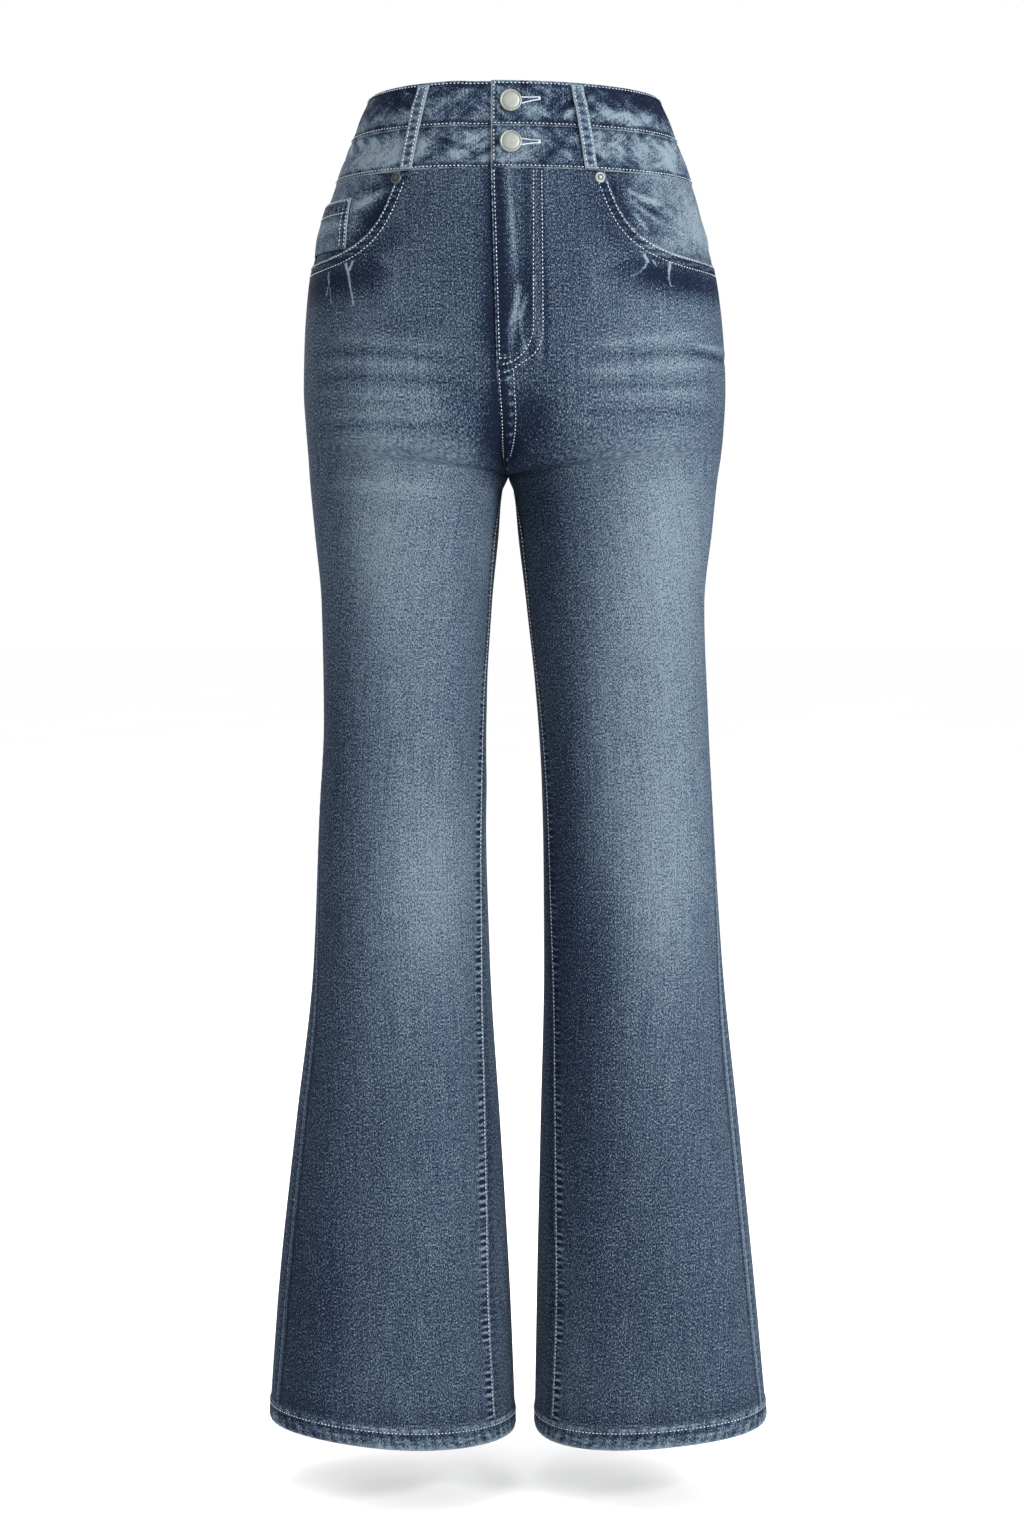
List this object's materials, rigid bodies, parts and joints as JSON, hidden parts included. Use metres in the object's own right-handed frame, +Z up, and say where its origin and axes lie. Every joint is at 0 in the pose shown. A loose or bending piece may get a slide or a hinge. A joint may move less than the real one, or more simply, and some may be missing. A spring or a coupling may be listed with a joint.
{
  "type": "flared jeans",
  "caption": "High-waisted flared denim jeans in a five-pocket cut, standing open as worn, with a buttoned two-tier waistband, belt loops, scooped front pockets and wide hems.",
  "frame": {"origin": "middle of the waist opening, level with the waistband's top edge, where a wearer's waist holds the garment", "axes": "+Z up, -Y the front of the garment, +X the wearer's left"},
  "size_m": [0.4057, 0.2307, 1.0712],
  "materials": {
    "washed_denim": "stone-washed indigo denim twill",
    "dark_denim": "less faded indigo denim twill",
    "band_denim": "double layer of washed indigo denim twill",
    "pale_metal": "satin pale metal",
    "dark_metal": "satin darkened metal",
    "zip_tape": "woven tape"
  },
  "bodies": {
    "root": {"front_panel_right": "washed_denim", "front_panel_left": "washed_denim", "back_panel_right": "washed_denim", "back_panel_left": "washed_denim", "yoke_right": "washed_denim", "yoke_left": "washed_denim", "back_pocket_right": "washed_denim", "back_pocket_left": "washed_denim", "hem_right": "washed_denim", "hem_left": "washed_denim", "coin_pocket": "washed_denim", "belt_loop_front_right": "washed_denim", "belt_loop_front_left": "washed_denim", "belt_loop_back_right": "washed_denim", "belt_loop_back_left": "washed_denim", "belt_loop_back_centre": "washed_denim", "pocket_facing_right": "dark_denim", "pocket_facing_left": "dark_denim", "fly_shield": "dark_denim", "waistband_upper": "band_denim", "waistband_lower": "band_denim", "button_upper": "pale_metal", "button_lower": "pale_metal", "rivet_left": "pale_metal", "rivet_right": "dark_metal", "zip": "zip_tape"}
  },
  "joints": []
}
